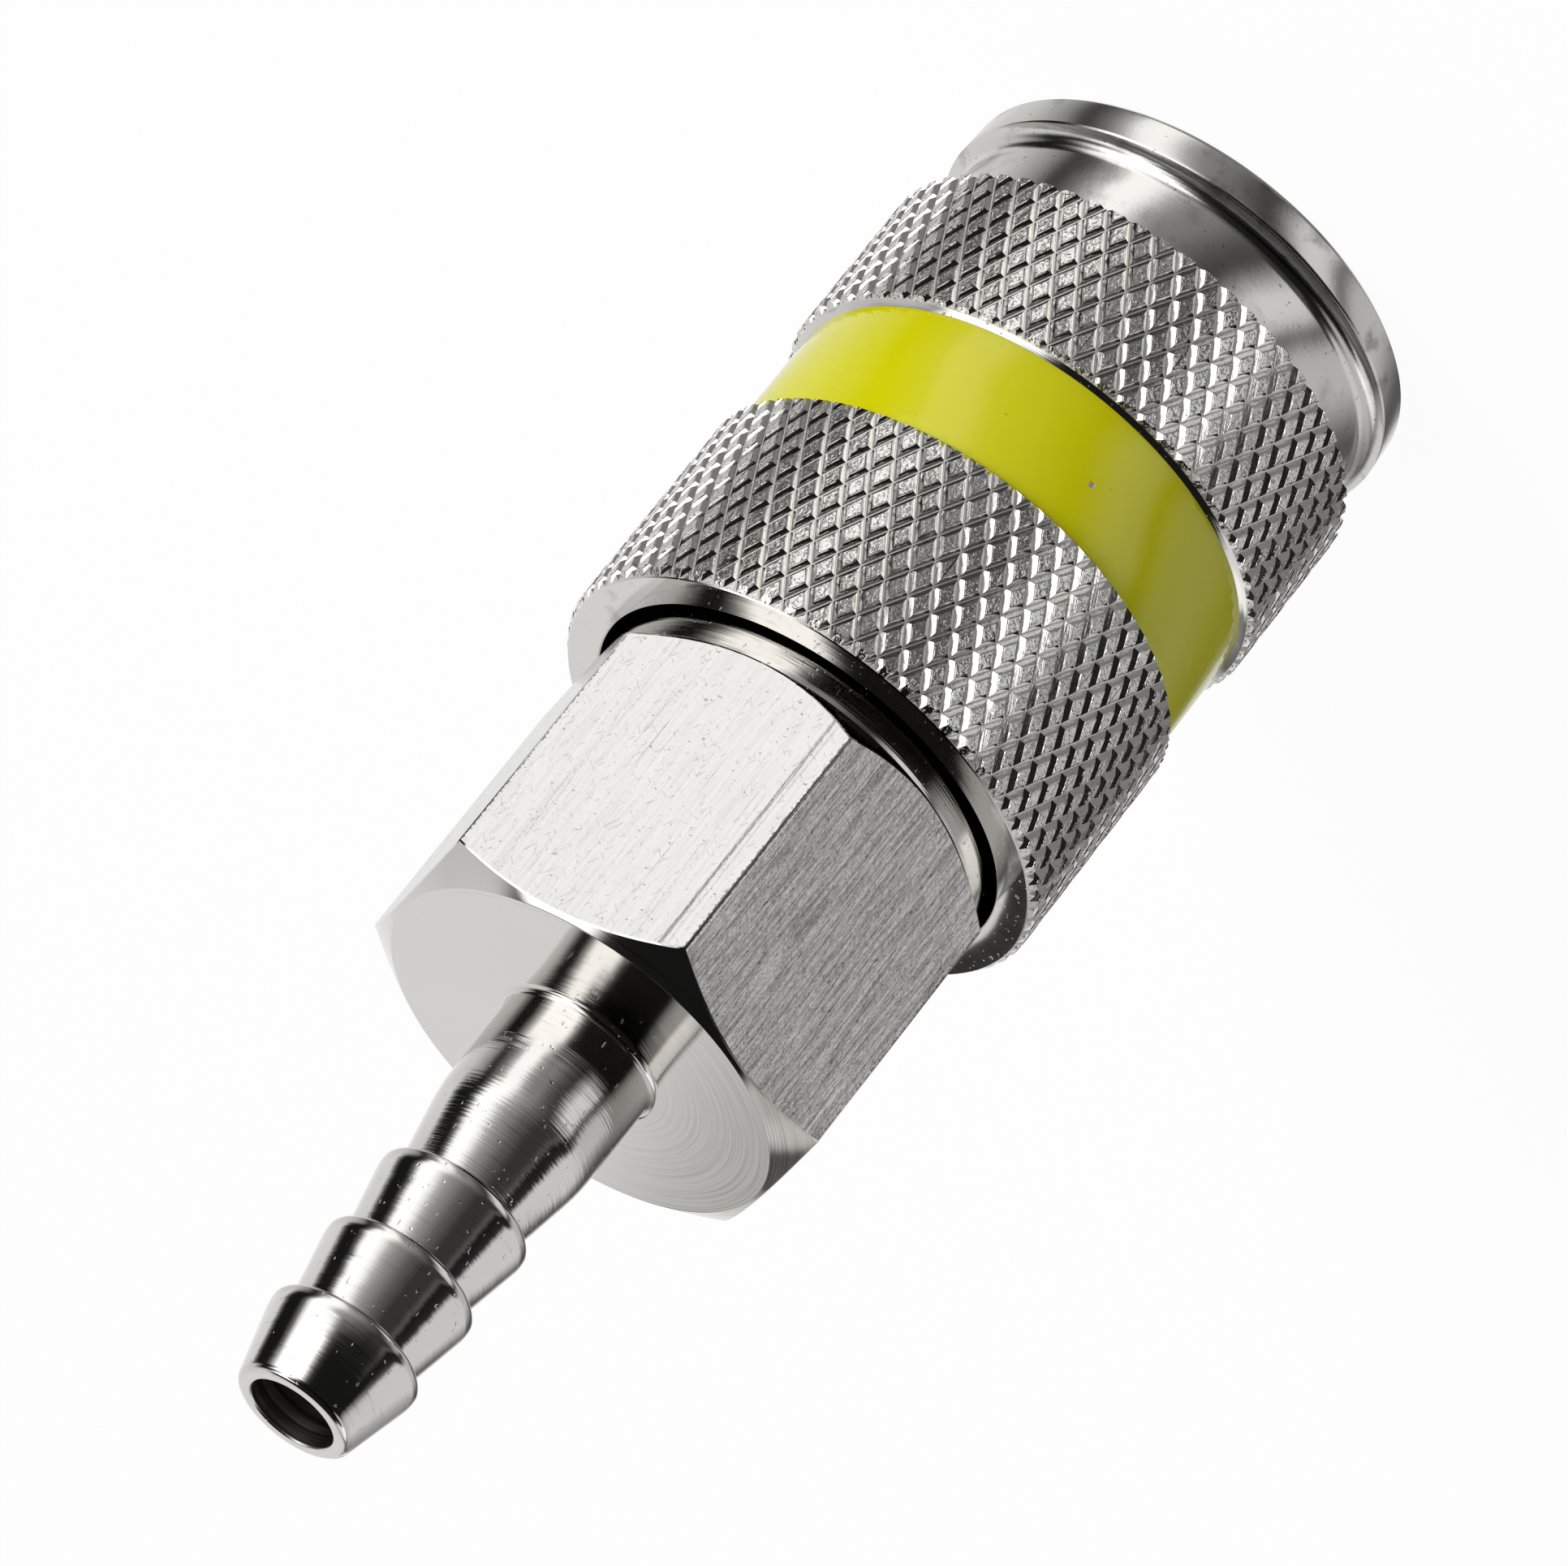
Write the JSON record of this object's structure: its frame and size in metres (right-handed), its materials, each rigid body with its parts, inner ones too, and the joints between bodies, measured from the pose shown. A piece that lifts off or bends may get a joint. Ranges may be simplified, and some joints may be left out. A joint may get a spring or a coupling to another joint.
{
  "type": "hose connector",
  "caption": "Compressed-air quick coupling: knurled sliding sleeve with a yellow-green groove band, hexagon and barbed hose tail; ball lock and check valve inside.",
  "frame": {"origin": "centre of the sliding sleeve's front face, on which the coupling stands", "axes": "+Z along the axis, from the mouth towards the end of the hose tail; +X through the middle of one flat of the hexagon"},
  "size_m": [0.027, 0.027, 0.0776],
  "materials": {
    "turned_nickel": "bright nickel plate on turned brass",
    "knurled_nickel": "satin nickel plate on knurled brass",
    "colour_lacquer": "gloss yellow-green lacquer",
    "plain_brass": "turned",
    "spring_steel": "drawn wire and hardened steel",
    "seal_rubber": "matt black"
  },
  "bodies": {
    "coupling": {"hose_tail": "turned_nickel", "socket_body": "plain_brass", "body_gasket": "seal_rubber", "sleeve_stop_ring": "spring_steel", "plug_seal": "seal_rubber", "valve_guide": "plain_brass", "sleeve_spring": "spring_steel", "valve_spring": "spring_steel"},
    "sleeve_carrier": {"thrust_washer": "spring_steel"},
    "sleeve": {"outer_sleeve": "knurled_nickel", "colour_band": "colour_lacquer"},
    "valve": {"valve_nose": "plain_brass", "valve_seal": "seal_rubber", "valve_stem": "plain_brass"},
    "ball_1": {"lock_ball_1": "spring_steel"},
    "ball_2": {"lock_ball_2": "spring_steel"},
    "ball_3": {"lock_ball_3": "spring_steel"},
    "ball_4": {"lock_ball_4": "spring_steel"},
    "ball_5": {"lock_ball_5": "spring_steel"},
    "ball_6": {"lock_ball_6": "spring_steel"}
  },
  "joints": [
    {"name": "sleeve_slide", "type": "slide", "parent": "coupling", "child": "sleeve_carrier", "axis": [0, 0, 1], "range_m": [0, 0.0017], "stiffness_N_per_m": 3500, "springref_m": -0.004, "deforming": ["sleeve_spring"]},
    {"name": "sleeve_turn", "type": "hinge", "parent": "sleeve_carrier", "child": "sleeve", "pos_m": [0, 0, 0.0139], "axis": [0, 0, 1], "continuous": true},
    {"name": "valve_slide", "type": "slide", "parent": "coupling", "child": "valve", "axis": [0, 0, 1], "range_m": [0, 0.003], "stiffness_N_per_m": 900, "springref_m": -0.004, "deforming": ["valve_spring"]},
    {"name": "ball_1_slide", "type": "slide", "parent": "coupling", "child": "ball_1", "axis": [1, 0, 0], "range_m": [0, 0.00085]},
    {"name": "ball_2_slide", "type": "slide", "parent": "coupling", "child": "ball_2", "axis": [0.5, 0.866, 0], "range_m": [0, 0.00085]},
    {"name": "ball_3_slide", "type": "slide", "parent": "coupling", "child": "ball_3", "axis": [-0.5, 0.866, 0], "range_m": [0, 0.00085]},
    {"name": "ball_4_slide", "type": "slide", "parent": "coupling", "child": "ball_4", "axis": [-1, 0, 0], "range_m": [0, 0.00085]},
    {"name": "ball_5_slide", "type": "slide", "parent": "coupling", "child": "ball_5", "axis": [-0.5, -0.866, 0], "range_m": [0, 0.00085]},
    {"name": "ball_6_slide", "type": "slide", "parent": "coupling", "child": "ball_6", "axis": [0.5, -0.866, 0], "range_m": [0, 0.00085]}
  ],
  "couplings": [
    {"joint": "ball_1_slide", "follows": "sleeve_slide", "ratio": 0.5},
    {"joint": "ball_2_slide", "follows": "sleeve_slide", "ratio": 0.5},
    {"joint": "ball_3_slide", "follows": "sleeve_slide", "ratio": 0.5},
    {"joint": "ball_4_slide", "follows": "sleeve_slide", "ratio": 0.5},
    {"joint": "ball_5_slide", "follows": "sleeve_slide", "ratio": 0.5},
    {"joint": "ball_6_slide", "follows": "sleeve_slide", "ratio": 0.5}
  ]
}
